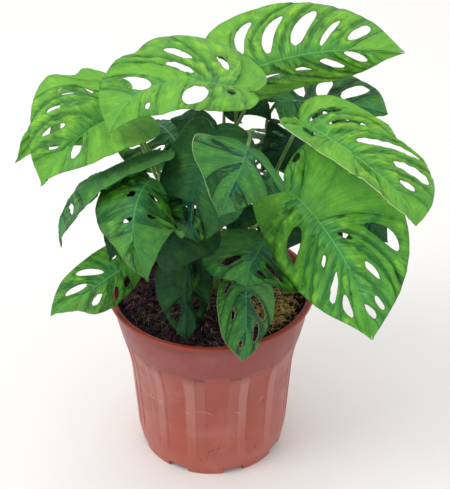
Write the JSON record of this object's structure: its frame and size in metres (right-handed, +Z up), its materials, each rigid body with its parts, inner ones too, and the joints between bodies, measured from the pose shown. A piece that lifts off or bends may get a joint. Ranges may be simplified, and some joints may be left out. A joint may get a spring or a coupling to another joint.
{
  "type": "potted monstera adansonii houseplant",
  "caption": "Swiss cheese vine with holed heart-shaped leaves in a terracotta-coloured plastic nursery pot.",
  "frame": {"origin": "The pot's axis at the surface that the pot stands on, in the middle of the pad under the bottom plate.", "axes": "+Z up along the pot's axis, -Y towards the front of the plant, where the large pointed leaf hangs on the right."},
  "size_m": [0.2768, 0.2475, 0.3215],
  "materials": {
    "pot_plastic": "satin, moulded, with a faint grey-mauve sheen",
    "soil": "dark peat with fibres and a few light crumbs",
    "stem": "smooth living green stem",
    "leaf": "satin leaf with sunken lateral veins and a pale midrib"
  },
  "bodies": {
    "root": {"pot": "pot_plastic", "soil": "soil", "stem_1": "stem", "stem_2": "stem", "stem_3": "stem", "stem_4": "stem", "stem_5": "stem", "leaf_01": "leaf", "leaf_02": "leaf", "leaf_03": "leaf", "leaf_04": "leaf", "leaf_05": "leaf", "leaf_06": "leaf", "leaf_07": "leaf", "leaf_08": "leaf", "leaf_09": "leaf", "leaf_10": "leaf", "leaf_11": "leaf", "leaf_12": "leaf", "leaf_13": "leaf", "leaf_14": "leaf", "leaf_15": "leaf", "leaf_16": "leaf", "leaf_17": "leaf", "leaf_18": "leaf", "leaf_19": "leaf", "leaf_20": "leaf", "leaf_21": "leaf", "leaf_22": "leaf", "leaf_23": "leaf", "leaf_24": "leaf", "leaf_25": "leaf", "leaf_26": "leaf", "leaf_27": "leaf"}
  },
  "joints": []
}
